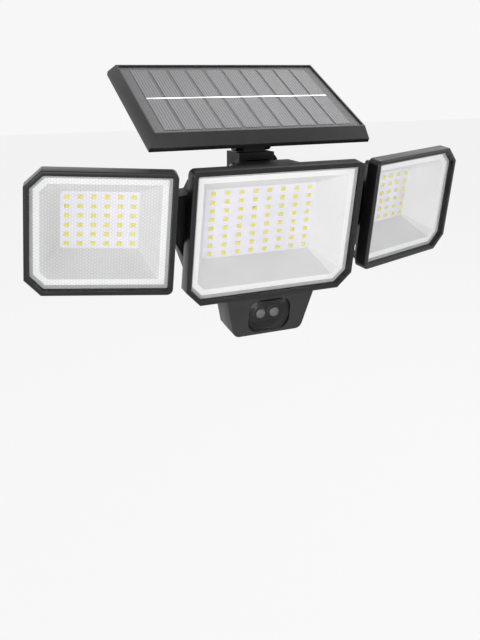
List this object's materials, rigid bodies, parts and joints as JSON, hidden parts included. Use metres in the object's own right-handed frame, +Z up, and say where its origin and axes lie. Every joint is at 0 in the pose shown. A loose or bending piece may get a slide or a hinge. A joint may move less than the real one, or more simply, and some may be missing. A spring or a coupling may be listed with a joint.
{
  "type": "motion sensor security light",
  "caption": "Solar wall light: a fixed bracket carries a tilting centre lamp with a motion sensor, two swivelling side lamps and a tilting solar panel.",
  "frame": {"origin": "centre of the wall plate's back face, on the wall", "axes": "+X along the wall, +Y into the wall, +Z up; the lamps face -Y"},
  "size_m": [0.338, 0.1246, 0.1908],
  "materials": {
    "housing_black": "fine satin texture",
    "holder_black": "matt",
    "lens_clear": "clear polycarbonate, fine texture",
    "sheet_clear": "clear laminate",
    "silicone": "matt",
    "gland_rubber": "matt",
    "button_rubber": "matt",
    "reflector_white": "glossy white",
    "board_white": "white solder mask",
    "board_green": "green solder mask",
    "led_phosphor": "yellow phosphor",
    "board_black": "black solder mask",
    "dome_smoked": "smoked polyethylene",
    "sensor_can": "plain metal can",
    "screw_steel": "satin",
    "contact_metal": "bright plated",
    "cell_wrap": "shrink-wrapped can",
    "solar_cell": "silicon with fine contact lines",
    "backing_dark": "dark board"
  },
  "bodies": {
    "bracket": {"wall_bracket": "housing_black", "tilt_bolt": "screw_steel", "tilt_nut": "screw_steel", "panel_bolt": "screw_steel", "panel_nut": "screw_steel"},
    "centre_unit": {"rear_housing": "housing_black", "centre_bezel": "housing_black", "centre_lens": "lens_clear", "centre_gasket": "silicone", "centre_reflector": "reflector_white", "centre_led_board": "board_white", "centre_leds": "led_phosphor", "centre_case_screws": "screw_steel", "battery_cell": "cell_wrap", "battery_holder": "holder_black", "battery_contacts": "contact_metal", "battery_seal": "silicone", "battery_cover": "housing_black", "battery_cover_screws": "screw_steel", "sensor_housing": "housing_black", "sensor_dome": "dome_smoked", "motion_sensors": "sensor_can", "sensor_board": "board_black", "control_board": "board_green", "sensor_cover": "housing_black", "sensor_cover_screws": "screw_steel", "head_lead_gland": "gland_rubber", "left_hinge_pin": "screw_steel", "right_hinge_pin": "screw_steel"},
    "mode_button": {"mode_button": "button_rubber"},
    "left_head": {"left_shell": "housing_black", "left_bezel": "housing_black", "left_lens": "lens_clear", "left_gasket": "silicone", "left_reflector": "reflector_white", "left_led_board": "board_white", "left_leds": "led_phosphor", "left_case_screws": "screw_steel"},
    "right_head": {"right_shell": "housing_black", "right_bezel": "housing_black", "right_lens": "lens_clear", "right_gasket": "silicone", "right_reflector": "reflector_white", "right_led_board": "board_white", "right_leds": "led_phosphor", "right_case_screws": "screw_steel"},
    "solar_panel": {"panel_tray": "housing_black", "panel_cover_sheet": "sheet_clear", "panel_busbar": "contact_metal", "panel_cells": "solar_cell", "panel_backing": "backing_dark", "panel_back_cover": "housing_black", "panel_back_screws": "screw_steel", "panel_bracket": "housing_black", "panel_bracket_screws": "screw_steel", "panel_lead_gland": "gland_rubber"}
  },
  "joints": [
    {"name": "head_tilt", "type": "hinge", "parent": "bracket", "child": "centre_unit", "pos_m": [0, -0.07298, 0.05147], "axis": [1, 0, 0], "range_deg": [-6, 30]},
    {"name": "panel_tilt", "type": "hinge", "parent": "bracket", "child": "solar_panel", "pos_m": [0, -0.07298, 0.07097], "axis": [1, 0, 0], "range_deg": [-8, 12]},
    {"name": "right_swivel", "type": "hinge", "parent": "centre_unit", "child": "right_head", "pos_m": [0.0759, -0.09146, 0.02114], "axis": [0, -0.1805, 0.9836], "range_deg": [-15, 45]},
    {"name": "left_swivel", "type": "hinge", "parent": "centre_unit", "child": "left_head", "pos_m": [-0.0759, -0.09146, 0.02114], "axis": [0, 0.1805, -0.9836], "range_deg": [-15, 45]},
    {"name": "mode_button_press", "type": "slide", "parent": "centre_unit", "child": "mode_button", "axis": [0, -0.9836, -0.1805], "range_m": [0, 0.0012], "stiffness_N_per_m": 600, "springref_m": -0.0005}
  ]
}
